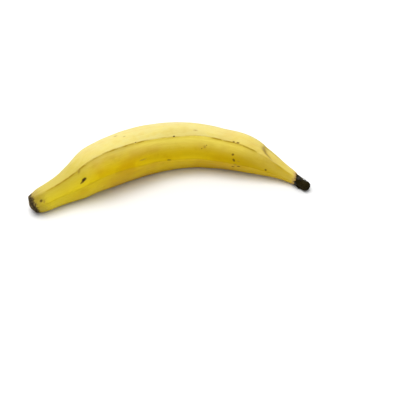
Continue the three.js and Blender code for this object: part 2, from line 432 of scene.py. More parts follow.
MARKS = (
    Mark(MarkKind.SCAR, 0.0532, 37.5, 0.0029, 0.0014, 4.0, 0.0004),
    Mark(MarkKind.SPOT, 0.0505, 33.5, 0.0032, 0.0009, 12.0),
    Mark(MarkKind.SCAR, 0.0085, 41.5, 0.0013, 0.0011, 60.0, 0.0003),
    Mark(MarkKind.SMEAR, 0.0102, 33.0, 0.0016, 0.0007, 70.0),
    Mark(MarkKind.SMEAR, 0.0537, 68.0, 0.0024, 0.0012, 30.0),
    Mark(MarkKind.SCAR, 0.1541, 61.0, 0.0012, 0.0008, 10.0, 0.0003),
    Mark(MarkKind.SMEAR, 0.1767, 82.0, 0.0020, 0.0011, 0.0),
    Mark(MarkKind.SMEAR, 0.0999, 114.0, 0.0018, 0.0012, 0.0),
    Mark(MarkKind.SMEAR, 0.1063, 97.5, 0.0014, 0.0007, 15.0),
    Mark(MarkKind.SPOT, 0.1118, 64.5, 0.0009, 0.0006, 0.0),
    Mark(MarkKind.SMEAR, 0.1137, 20.5, 0.0036, 0.0007, 0.0),
    Mark(MarkKind.SPOT, 0.1460, 2.6, 0.0028, 0.0005, -4.0),
    Mark(MarkKind.SMEAR, 0.1882, 36.0, 0.0014, 0.0012, 30.0),
    Mark(MarkKind.SPOT, 0.1850, 30.0, 0.0006, 0.0005, 0.0),
    Mark(MarkKind.SPOT, 0.1900, 41.0, 0.0005, 0.0005, 0.0),
    Mark(MarkKind.SPOT, 0.2178, 67.5, 0.0012, 0.0010, 0.0, 0.0002),
    Mark(MarkKind.SPOT, 0.2217, 68.7, 0.0013, 0.0010, 20.0, 0.0002),
    Mark(MarkKind.SPOT, 0.2201, 27.7, 0.0013, 0.0011, 40.0, 0.0002),
    Mark(MarkKind.SPOT, 0.2221, 11.5, 0.0017, 0.0011, -40.0),
    Mark(MarkKind.SPOT, 0.2216, 344.0, 0.0018, 0.0010, 5.0),
    Mark(MarkKind.SPOT, 0.2274, 351.5, 0.0017, 0.0011, 0.0),
    Mark(MarkKind.SMEAR, 0.2242, 357.0, 0.0015, 0.0011, 0.0),
    Mark(MarkKind.SMEAR, 0.2266, 11.0, 0.0016, 0.0005, 0.0),
    Mark(MarkKind.SPOT, 0.2543, 7.5, 0.0011, 0.0008, 0.0, 0.0002),
    Mark(MarkKind.SCAR, 0.0035, 84.0, 0.0018, 0.0015, 30.0),
    Mark(MarkKind.SPOT, 0.1300, 176.0, 0.0016, 0.0009, 20.0, 0.0002),
    Mark(MarkKind.SCAR, 0.1980, 205.0, 0.0022, 0.0008, -12.0, 0.0003),
    Mark(MarkKind.SMEAR, 0.0900, 214.0, 0.0042, 0.0011, 6.0),
    Mark(MarkKind.SPOT, 0.1700, 262.0, 0.0014, 0.0010, 0.0),
    Mark(MarkKind.SMEAR, 0.2350, 158.0, 0.0020, 0.0010, 40.0),
)


@dataclass
class SkinRelief:
    """The fine form of the skin, laid over the main form, which a solid of few faces can't show."""

    form: FruitForm
    marks: tuple[Mark, ...] = MARKS
    dents: Lumps = (0.017, 2, 1.0)
    dent_depth: float = 0.00016
    dent_stretch: float = 0.5
    furrows: Lumps = (0.0026, 3, 3.0)
    furrow_depth: float = 0.00007
    furrow_stretch: float = 0.06
    crest_height: float = 0.00032
    crest_width: float = 0.0013
    fold_groove: float = 0.00040
    fold_groove_width: float = 0.0009
    fold_shift: float = 0.0013
    fold_back_shift: float = 0.0017
    fold_back_start: float = 82.0
    fold_back_end: float = 122.0
    fold_shade_width: float = 0.0030
    fold_fade_start: float = 98.0
    fold_fade_end: float = 126.0
    fold_fade_share: float = 0.65
    fold_tail_start: float = 84.0
    fold_tail_end: float = 64.0
    fibre_stretch: float = 0.08
    neck_wrinkles: Lumps = (0.0021, 3, 4.0)
    tip_wrinkles: Lumps = (0.0021, 3, 6.0)
    wrinkle_depth: float = 0.00022
    neck_wrinkle_full: float = 0.004
    neck_wrinkle_end: float = 0.034
    tip_wrinkle_start: float = 0.256
    lip_height: float = 0.00035
    lip_length: float = 0.0016
    ragged_lumps: Lumps = (0.0024, 4, 9.0)
    ragged_depth: float = 0.00055
    ragged_length: float = 0.0050
    blossom_start: float = 0.0163
    blossom_lean: float = 0.0019
    # The height, the turns and the phase of each wave in the blossom's edge.
    blossom_waves: tuple[Triple, ...] = ((0.0007, 2.0, 0.6), (0.0004, 5.0, 2.1))
    blossom_blend: float = 0.0012
    blossom_step: float = 0.0004
    crumples: Lumps = (0.0042, 4, 2.0)
    crumple_depth: float = 0.00075
    creases: Lumps = (0.0030, 2, 7.0)
    crease_depth: float = 0.00065
    wear_level: float = 0.65
    wear_swing: float = 0.35
    wear_lengths: tuple[float, float] = (0.011, 0.0047)
    wear_phase: float = 1.0
    body_rise: float = 0.012
    body_fall: tuple[float, float] = (0.024, 0.018)
    pit_rim: float = 0.0004
    cut_push_shares: tuple[float, ...] = (0.0, 0.35, 0.7, 1.0)
    cut_pushes: tuple[float, ...] = (-0.0024, -0.0021, -0.0012, 0.0)
    tip_pushes: tuple[float, ...] = (-0.0005, 0.0001, 0.0005, 0.0)
    face_depth: float = 0.00045
    face_lumps: Lumps = (0.0022, 4, 5.0)
    face_fall: int = 6

    def blossom_edge(self, radians: np.ndarray) -> np.ndarray:
        """Gives the distance at which the dried blossom starts, which wanders and is last in front."""
        wander = sum(height * np.sin(turns * radians + phase) for height, turns, phase in self.blossom_waves)
        return self.form.length - self.blossom_start + self.blossom_lean * np.cos(radians) + wander

    def fold_line(self, angle: np.ndarray) -> np.ndarray:
        """Gives the distance of the fold's crease at each angle: at the overhang's foot behind."""
        back = self.fold_back_shift * smooth_step(angle, self.fold_back_start, self.fold_back_end)
        return self.form.fold_edge(angle) + self.fold_shift + back

    def fold_strength(self, angle: np.ndarray) -> np.ndarray:
        """Gives the strength of the fold's groove and of the painted shade in its crease, partly the
        crease's own brown, at each angle: weaker at back and front.
        """
        fade = self.fold_fade_share * smooth_step(angle, self.fold_fade_start, self.fold_fade_end)
        tail = smooth_step(angle, self.fold_tail_end, self.fold_tail_start)
        return self.form.fold_window(angle) * tail * (1.0 - fade)

    def ends(self, grain: np.ndarray, places: np.ndarray, radians: np.ndarray) -> np.ndarray:
        """Roughens the cut's ragged edge, the wrinkled neck and the crumpled blossom.

        Args:
            grain: the straightened place of each vertex.
            places: the place of each vertex.
            radians: its angle round the fruit.

        Returns:
            The height to add to each vertex.
        """
        distance = grain[:, 2]
        height = np.zeros(len(distance))
        fibrous = grain * np.array([1.0, 1.0, self.fibre_stretch])
        near_neck = np.flatnonzero(distance < self.neck_wrinkle_end)
        fade = 1.0 - smooth_step(distance[near_neck], self.neck_wrinkle_full, self.neck_wrinkle_end)
        height[near_neck] += self.wrinkle_depth * fade * rough(fibrous[near_neck], *self.neck_wrinkles)
        near_cut = np.flatnonzero(distance < self.ragged_length)
        fade = 1.0 - smooth_step(distance[near_cut], 0.0, self.ragged_length)
        height[near_cut] += self.ragged_depth * fade * rough(places[near_cut], *self.ragged_lumps)
        height[near_cut] += self.lip_height * np.exp(-((distance[near_cut] / self.lip_length) ** 2))
        near_tip = np.flatnonzero(distance > self.tip_wrinkle_start)
        edge = self.blossom_edge(radians[near_tip])
        far = distance[near_tip]
        rise = smooth_step(far, self.tip_wrinkle_start, edge)
        height[near_tip] += self.wrinkle_depth * rise * rough(fibrous[near_tip], *self.tip_wrinkles)
        dried = smooth_step(far, edge - self.blossom_blend, edge + self.blossom_blend)
        crumple = self.crumple_depth * rough(places[near_tip], *self.crumples)
        crease = self.crease_depth * np.abs(rough(places[near_tip], *self.creases))
        height[near_tip] += dried * (crumple - crease - self.blossom_step + self.crease_depth / 3.0)
        return height

    def body(self, grain: np.ndarray, crest: np.ndarray, angle: np.ndarray) -> np.ndarray:
        """Dents, furrows and creases the body's skin.

        Args:
            grain: the straightened place of each vertex.
            crest: its distance from the nearest ridge.
            angle: its angle round the fruit, in degrees.

        Returns:
            The height to add to each vertex.
        """
        distance = grain[:, 2]
        dents = rough(grain * np.array([1.0, 1.0, self.dent_stretch]), *self.dents)
        furrows = rough(grain * np.array([1.0, 1.0, self.furrow_stretch]), *self.furrows)
        long_wave, short_wave = self.wear_lengths
        swing = self.wear_swing * np.sin(distance / long_wave)
        wear = self.wear_level + swing * np.sin(distance / short_wave + self.wear_phase)
        ridge = self.crest_height * wear * np.exp(-((crest / self.crest_width) ** 2))
        off_fold = (distance - self.fold_line(angle)) / self.fold_groove_width
        groove = self.fold_groove * self.fold_strength(angle) * np.exp(-(off_fold**2))
        on_body = smooth_step(distance, 0.0, self.body_rise)
        low, high = (self.form.length - before for before in self.body_fall)
        on_body = on_body * (1.0 - smooth_step(distance, low, high))
        return on_body * (self.dent_depth * dents + self.furrow_depth * furrows + ridge - groove)

    def pits(self, grain: np.ndarray, centres: np.ndarray) -> np.ndarray:
        """Sinks the skin at the marks that have a pit.

        Args:
            grain: the straightened place of each vertex.
            centres: the straightened place of each mark.

        Returns:
            The height to add to each vertex, at most 0.
        """
        height = np.zeros(len(grain))
        for mark, centre in zip(self.marks, centres):
            if mark.pit > 0.0:
                width = (mark.half_length + mark.half_width) / 2.0 + self.pit_rim
                away = np.linalg.norm(grain - centre, axis=1) / width
                height -= mark.pit * np.exp(-(away**2))
        return height


@dataclass
class PlantainSkin:
    """The fruit's skin: one closed fine mesh, from the cut face over the body to the blossom's end."""

    form: FruitForm
    relief: SkinRelief
    around: int = 180
    ring_cuts: tuple[int, int] = (19, 21)
    cap_steps: int = 10
    end_crowding: float = 0.6
    tolerance: float = 1e-6
    rim_share: float = 0.999
    ridge_reach: float = 0.012
    # How strongly and how far the painted top highlight reaches below the upper ridge.
    top_light_share: float = 0.82
    top_light_reach: float = 0.0068

    def blank(self) -> bpy.types.Object:
        """Models a closed cylinder of radius and height 1, cut into many rings.

        Returns:
            The new object, with rings across its caps too.
        """
        bpy.ops.object.select_all(action="DESELECT")
        bpy.ops.mesh.primitive_cylinder_add(
            vertices=self.around, radius=1.0, depth=1.0, end_fill_type="NGON"
        )
        blank = bpy.context.object
        for cuts in self.ring_cuts:
            self._select(blank, "EDGE")
            edit_mesh(bpy.ops.mesh.subdivide, number_cuts=cuts)
        for _ in range(self.cap_steps - 1):
            self._select(blank, "FACE")
            edit_mesh(bpy.ops.mesh.inset, thickness=1.0 / self.cap_steps, depth=0.0)
        self._select(blank, "FACE")
        edit_mesh(bpy.ops.mesh.poke)
        return blank

    def _select(self, blank: bpy.types.Object, kind: str) -> None:
        """Selects the upright edges, or the many-sided faces that close the two ends.

        Args:
            blank: the object, in object mode.
            kind: EDGE or FACE.
        """
        mesh = blank.data
        bpy.ops.object.mode_set(mode="EDIT")
        bpy.ops.mesh.select_mode(type=kind)
        bpy.ops.mesh.select_all(action="DESELECT")
        bpy.ops.object.mode_set(mode="OBJECT")
        if kind == "EDGE":
            for edge in mesh.edges:
                low, high = (mesh.vertices[index].co.z for index in edge.vertices)
                edge.select = abs(low - high) > self.tolerance
        else:
            for polygon in mesh.polygons:
                polygon.select = len(polygon.vertices) == self.around

    def _faces(self, turns: np.ndarray) -> tuple[np.ndarray, np.ndarray]:
        """Spreads the vertices so that every face has as many and each ridge lies along a line of them.

        Args:
            turns: the place round the blank, 0 to 1.

        Returns:
            The face that each vertex lies on, and its place across that face, 0 to 1.
        """
        count = len(self.form.ridge_angles)
        scaled = np.mod(turns, 1.0) * count
        face = np.clip(np.floor(scaled + self.tolerance), 0, count - 1).astype(int)
        return face, np.clip(scaled - face, 0.0, 1.0)

    def _top_light(self, face: np.ndarray, across: np.ndarray, width: np.ndarray) -> np.ndarray:
        """Measures where the painted top highlight goes: full on the upper face, a little below its ridge,
        fading behind it.

        Args:
            face: the face that each vertex lies on.
            across: its place across that face.
            width: the width of the face there.

        Returns:
            The share of painted top highlight at each vertex, 0 to 1.
        """
        below = self.top_light_share * np.exp(-(1.0 - across) * width / self.top_light_reach)
        return np.select([face == 0, face == 1, face == 2], [below, 1.0, 1.0 - across], 0.0)

    def grow(self, blank: bpy.types.Object) -> None:
        """Moves the blank's vertices onto the fruit, and keeps what the finish needs as attributes.

        Args:
            blank: the cylinder that becomes the skin.
        """
        form, relief, mesh = self.form, self.relief, blank.data
        flat = np.empty(len(mesh.vertices) * 3)
        mesh.vertices.foreach_get("co", flat)
        blank_places = flat.reshape(-1, 3)
        share = np.clip(np.hypot(blank_places[:, 0], blank_places[:, 1]), 0.0, 1.0)
        reach = np.clip(0.5 - blank_places[:, 2], 0.0, 1.0)
        crowded = reach - self.end_crowding / (2.0 * np.pi) * np.sin(2.0 * np.pi * reach)
        distance = crowded * form.length
        turns = np.arctan2(blank_places[:, 1], blank_places[:, 0]) / (2.0 * np.pi)
        face, across = self._faces(turns)
        ridges = form.ridges(distance)
        row = np.arange(len(face))
        opening = ridges[row, face + 1] - ridges[row, face]
        angle = ridges[row, face] + across * opening
        radians = np.radians(angle)
        sections = form.sections(distance)
        radius = form.radius(distance, angle, sections)
        inner = share < self.rim_share
        on_cut = inner & (reach < 0.5)
        on_tip = inner & (reach > 0.5)
        inward = (1.0 - share) * radius
        straight = distance - inward * on_cut + inward * on_tip
        spread = radius * share
        grain = straightened(spread, radians, straight)
        outward = sections.outward(radians)
        places = sections.centre + spread[:, None] * outward
        width = np.radians(opening) * radius
        crest = np.minimum(across, 1.0 - across) * width
        height = relief.body(grain, crest, angle) + relief.ends(grain, places, radians)
        height = height + relief.pits(grain, self.centres())
        places = places + (height * share)[:, None] * outward
        lumps = relief.face_depth * rough(places, *relief.face_lumps) * (1.0 - share**relief.face_fall)
        cut_push = np.interp(share, relief.cut_push_shares, relief.cut_pushes) + lumps
        tip_push = np.interp(share, relief.cut_push_shares, relief.tip_pushes) + 2.0 * lumps
        places = places + (cut_push * on_cut + tip_push * on_tip)[:, None] * sections.along
        places[:, 2] = np.maximum(places[:, 2], FLOOR_GAP)
        mesh.vertices.foreach_set("co", places.ravel())
        above = np.where(face == 1, across * width, self.ridge_reach)
        upper = np.where(face == 0, (1.0 - across) * width, above)
        narrow = np.where(face == len(form.ridge_angles) - 1, 4.0 * across * (1.0 - across), 0.0)
        facets = np.stack([crest, np.minimum(upper, self.ridge_reach), narrow], axis=1)
        # Where the fold's crease takes its painted shade, partly its own brown colour.
        off_fold = (straight - relief.fold_line(angle)) / relief.fold_shade_width
        crease = relief.fold_strength(angle) * np.exp(-(off_fold**2))
        # Where the painted top highlight goes, kept as the third value of ends.
        top_light = self._top_light(face, across, width)
        ends = np.stack([straight - relief.blossom_edge(radians), crease, top_light], axis=1)
        for name, values in (("grain", grain), ("facets", facets), ("ends", ends)):
            made = mesh.attributes.new(name, "FLOAT_VECTOR", "POINT")
            made.data.foreach_set("vector", values.ravel())
        mesh.update()

    def centres(self) -> np.ndarray:
        """Finds the straightened place of each mark.

        Returns:
            One row for each mark.
        """
        distance = np.array([mark.distance for mark in self.relief.marks])
        angle = np.array([mark.angle for mark in self.relief.marks])
        radius = self.form.radius(distance, angle, self.form.sections(distance))
        return straightened(radius, np.radians(angle), distance)

    def build(self) -> bpy.types.Object:
        """Models the skin and smooths it.

        Returns:
            The finished skin, without its material.
        """
        skin = self.blank()
        skin.name = skin.data.name = "plantain_skin"
        self.grow(skin)
        edit_mesh(bpy.ops.mesh.normals_make_consistent, everything=True, inside=False)
        bpy.ops.object.shade_smooth()
        return skin


@dataclass
class FrayedCrown:
    """The short dry strands that stand up round the edge of the cut."""

    form: FruitForm
    count: int = 34
    strand_length: float = 0.0017
    base_radius: float = 0.00017
    end_radius: float = 0.00004
    sides: int = 5
    cuts: int = 4
    curl: float = 0.0005
    spread: tuple[float, float] = (-0.4, 0.4)
    starts: tuple[float, float] = (0.0002, 0.0012)
    rim_shares: tuple[float, float] = (0.84, 1.0)
    leans: tuple[float, float] = (0.1, 0.75)
    sizes: tuple[float, float] = (0.45, 1.0)
    seed: int = 7

    def strand(self) -> bpy.types.Object:
        """Models one tapered strand that starts at the origin, runs up and curls over.

        Returns:
            The strand, which the copies are made from.
        """
        bpy.ops.object.select_all(action="DESELECT")
        bpy.ops.mesh.primitive_cone_add(
            vertices=self.sides,
            radius1=self.base_radius,
            radius2=self.end_radius,
            depth=self.strand_length,
            location=(0.0, 0.0, 0.0),
        )
        strand = bpy.context.object
        edit_mesh(bpy.ops.mesh.subdivide, everything=True, number_cuts=self.cuts)
        for vertex in strand.data.vertices:
            height = vertex.co.z + self.strand_length / 2.0
            vertex.co.z = height
            vertex.co.x += self.curl * (height / self.strand_length) ** 2
        return strand

    def build(self) -> bpy.types.Object:
        """Copies the strand round the cut's edge and joins the copies.

        Returns:
            All the strands as one object.
        """
        pattern = self.strand()
        chance = random.Random(self.seed)
        copies = []
        for number in range(self.count):
            angle = FULL_TURN * (number + chance.uniform(*self.spread)) / self.count
            distance = np.array([chance.uniform(*self.starts)])
            sections = self.form.sections(distance)
            rim = self.form.radius(distance, np.array([angle]), sections)
            radius = float(rim[0]) * chance.uniform(*self.rim_shares)
            turn = math.radians(angle)
            rows = (sections.front, sections.up, sections.along)
            front, up, along = (Vector(row[0]) for row in rows)
            outward = math.cos(turn) * front + math.sin(turn) * up
            place = Vector(sections.centre[0]) + radius * outward
            lean = chance.uniform(*self.leans)
            heading = (outward * math.sin(lean) - along * math.cos(lean)).normalized()
            size = chance.uniform(*self.sizes)
            roll = Matrix.Rotation(chance.uniform(0.0, 2.0 * math.pi), 4, "Z")
            turned = heading.to_track_quat("Z", "Y").to_matrix().to_4x4()
            placed = Matrix.Translation(place) @ turned @ roll @ Matrix.Scale(size, 4)
            copy = place_copy(pattern, placed)
            lift_clear(copy)
            copies.append(copy)
        bpy.data.objects.remove(pattern)
        return join_pieces(copies, "crown_fibres")


@dataclass
class BlossomShreds:
    """The thin dried flaps that cling to the black remains of the blossom."""

    form: FruitForm
    count: int = 7
    flap_length: float = 0.0075
    flap_width: float = 0.0030
    thickness: float = 0.00022
    steps_along: int = 14
    steps_across: int = 6
    lift: float = 0.0009
    # The depth, the turns and the phase of the tear in the free end, and where it starts.
    tear: tuple[float, ...] = (0.16, 5.0, 1.0, 0.5)
    narrowest: float = 0.55
    widening: float = 0.45
    swell: tuple[float, float] = (0.25, 0.85)
    cupping: float = 0.25
    sink: float = 0.3
    first_distance: float = 0.0165
    starts: tuple[float, float] = (-0.0005, 0.0055)
    spread: tuple[float, float] = (-0.3, 0.3)
    skews: tuple[float, float] = (-0.35, 0.35)
    sizes: tuple[float, float] = (0.6, 1.0)
    least_girth: float = 0.003
    sharp_angle: float = 40.0
    seed: int = 21

    def flap(self) -> bpy.types.Object:
        """Models one flat flap, tapered, cupped and torn at its free end.

        Returns:
            The flap, which the copies are made from: x runs along the fruit and y round it.
        """
        bpy.ops.object.select_all(action="DESELECT")
        bpy.ops.mesh.primitive_grid_add(
            x_subdivisions=self.steps_along,
            y_subdivisions=self.steps_across,
            size=1.0,
            location=(0.0, 0.0, 0.0),
        )
        flap = bpy.context.object
        depth, turns, phase, torn = self.tear
        first, gain = self.swell
        for vertex in flap.data.vertices:
            reach = vertex.co.x + 0.5
            side = 2.0 * vertex.co.y
            tear = depth * math.sin(turns * side + phase) * smooth_step(np.array(reach), torn, 1.0)
            bulge = math.sin(math.pi * min(1.0, first + gain * reach))
            width = self.narrowest + self.widening * bulge
            vertex.co.x = (reach + tear) * self.flap_length
            vertex.co.y = side * width * self.flap_width / 2.0
            vertex.co.z = self.lift * (reach**3 + self.cupping * side * side - self.sink)
        solid = flap.modifiers.new("thickness", "SOLIDIFY")
        solid.thickness = self.thickness
        solid.offset = 0.0
        bpy.ops.object.modifier_apply(modifier=solid.name)
        return flap

    def build(self) -> bpy.types.Object:
        """Wraps copies of the flap round the blossom and joins them.

        Returns:
            All the flaps as one object.
        """
        pattern = self.flap()
        chance = random.Random(self.seed)
        copies = []
        for number in range(self.count):
            copy = place_copy(pattern, Matrix.Identity(4))
            start = self.form.length - self.first_distance + chance.uniform(*self.starts)
            middle = FULL_TURN * (number + chance.uniform(*self.spread)) / self.count
            skew = chance.uniform(*self.skews)
            size = chance.uniform(*self.sizes)
            local = np.array([vertex.co for vertex in copy.data.vertices]) * size
            distance = start + local[:, 0]
            sections = self.form.sections(distance)
            girth = np.maximum(sections.girth, self.least_girth)
            angle = middle + np.degrees((local[:, 1] + skew * local[:, 0]) / girth)
            radius = self.form.radius(distance, angle, sections) + local[:, 2]
            outward = sections.outward(np.radians(angle))
            places = sections.centre + radius[:, None] * outward
            copy.data.vertices.foreach_set("co", places.ravel())
            copy.data.update()
            lift_clear(copy)
            copies.append(copy)
        bpy.data.objects.remove(pattern)
        shreds = join_pieces(copies, "blossom_shreds")
        bpy.ops.object.shade_smooth_by_angle(angle=math.radians(self.sharp_angle))
        return shreds


def edit_mesh(change: Callable[..., object], everything: bool = False, **settings: object) -> None:
    """Makes one change to the active mesh in edit mode.

    Args:
        change: the Blender operation that makes it.
        everything: whether the whole mesh is selected first.
        **settings: the operation's options.
    """
    bpy.ops.object.mode_set(mode="EDIT")
    if everything:
        bpy.ops.mesh.select_all(action="SELECT")
    change(**settings)
    bpy.ops.object.mode_set(mode="OBJECT")


def place_copy(pattern: bpy.types.Object, place: Matrix) -> bpy.types.Object:
    """Copies a piece with a mesh of its own and moves that mesh to its place.

    Args:
        pattern: the piece to copy.
        place: where the copy goes.

    Returns:
        The copy, whose object stays at the origin.
    """
    mesh = pattern.data.copy()
    mesh.transform(place)
    copy = bpy.data.objects.new(pattern.name, mesh)
    bpy.context.collection.objects.link(copy)
    return copy


def lift_clear(piece: bpy.types.Object) -> None:
    """Raises a piece that would dip under the floor until it just clears it."""
    lowest = min(vertex.co.z for vertex in piece.data.vertices)
    if lowest < FLOOR_GAP:
        piece.data.transform(Matrix.Translation((0.0, 0.0, FLOOR_GAP - lowest)))


def join_pieces(parts: list[bpy.types.Object], name: str) -> bpy.types.Object:
    """Joins parts into one object with outward faces.

    Args:
        parts: the objects to join.
        name: the name of the joined object.

    Returns:
        The joined object.
    """
    bpy.ops.object.select_all(action="DESELECT")
    for part in parts:
        part.select_set(True)
    bpy.context.view_layer.objects.active = parts[0]
    bpy.ops.object.join()
    joined = bpy.context.object
    joined.name = joined.data.name = name
    edit_mesh(bpy.ops.mesh.normals_make_consistent, everything=True, inside=False)
    return joined


class NodeSheet:
    """Adds nodes to a shader tree and links them."""

    def __init__(self, tree: bpy.types.NodeTree) -> None:
        """Keeps the tree that the nodes go in."""
        self.tree = tree

    def add(
        self, kind: str, feeds: Mapping[str | int, Feed] | None = None, **settings: object
    ) -> bpy.types.Node:
        """Adds a node, sets its options and fills its inputs.

        Args:
            kind: the node's type.
            feeds: a value or a socket for each input that is filled.
            **settings: the node's options.

        Returns:
            The new node.
        """
        node = self.tree.nodes.new(kind)
        for name, value in settings.items():
            setattr(node, name, value)
        for key, value in (feeds or {}).items():
            self.feed(node.inputs[key], value)
        return node

    def feed(self, socket: Socket, value: Feed) -> None:
        """Links a socket to an input, or sets the input's value."""
        if isinstance(value, Socket):
            self.tree.links.new(value, socket)
        else:
            socket.default_value = value

    def math(self, operation: str, first: Feed, second: Feed = 0.0, third: Feed = 0.0) -> Socket:
        """Works out one number from up to three."""
        return self.add("ShaderNodeMath", {0: first, 1: second, 2: third}, operation=operation).outputs[0]

    def times(self, *factors: Feed) -> Socket:
        """Multiplies numbers, from the first to the last.

        Args:
            *factors: the numbers, two or more.

        Returns:
            Their product.
        """
        product = factors[0]
        for factor in factors[1:]:
            product = self.math("MULTIPLY", product, factor)
        return product

    def vector(self, operation: str, first: Feed, second: Feed = (0.0, 0.0, 0.0)) -> Socket:
        """Works out a vector, or a number from vectors."""
        node = self.add("ShaderNodeVectorMath", {0: first, 1: second}, operation=operation)
        return node.outputs["Value" if operation in ("DOT_PRODUCT", "LENGTH") else "Vector"]

    def split(self, places: Feed) -> bpy.types.NodeOutputs:
        """Splits coordinates into their three numbers."""
        return self.add("ShaderNodeSeparateXYZ", {0: places}).outputs

    def read(self, name: str) -> Socket:
        """Reads one of a piece's own attributes."""
        return self.add("ShaderNodeAttribute", attribute_name=name).outputs["Vector"]

    def span(self, value: Feed, low: Feed, high: Feed, start: Feed = 0.0, end: Feed = 1.0) -> Socket:
        """Runs smoothly from start to end while the value runs from low to high."""
        feeds = {"Value": value, "From Min": low, "From Max": high, "To Min": start, "To Max": end}
        return self.add("ShaderNodeMapRange", feeds, interpolation_type="SMOOTHSTEP").outputs["Result"]

    def tint(self, share: Feed, first: Feed, second: Feed) -> Socket:
        """Mixes two colours."""
        return self.add("ShaderNodeMix", {0: share, 6: first, 7: second}, data_type="RGBA").outputs[2]

    def window(self, value: Feed, rise: tuple[float, float], fall: tuple[float, float]) -> Socket:
        """Runs from 0 up to 1 over one stretch of the value, and back to 0 over another."""
        return self.times(self.span(value, *rise), self.span(value, fall[1], fall[0]))

    def noise(self, places: Feed, size: float, detail: float = 2.0, roughness: float = 0.5) -> Socket:
        """Reads cloudy noise, about 0.5 on the whole, with lumps of the given size."""
        feeds = {"Vector": places, "Scale": 1.0 / size, "Detail": detail, "Roughness": roughness}
        return self.add("ShaderNodeTexNoise", feeds).outputs[0]

    def clouds(self, places: Feed, amounts: Triple, cloud: Cloud) -> Socket:
        """Reads noise on coordinates that are scaled by another amount in each direction."""
        return self.noise(self.vector("MULTIPLY", places, amounts), *cloud)

    def group(self, tree: bpy.types.NodeTree, feeds: Mapping[str | int, Feed]) -> Socket:
        """Places a node group and gives its mask."""
        return self.add("ShaderNodeGroup", feeds, node_tree=tree).outputs["Mask"]


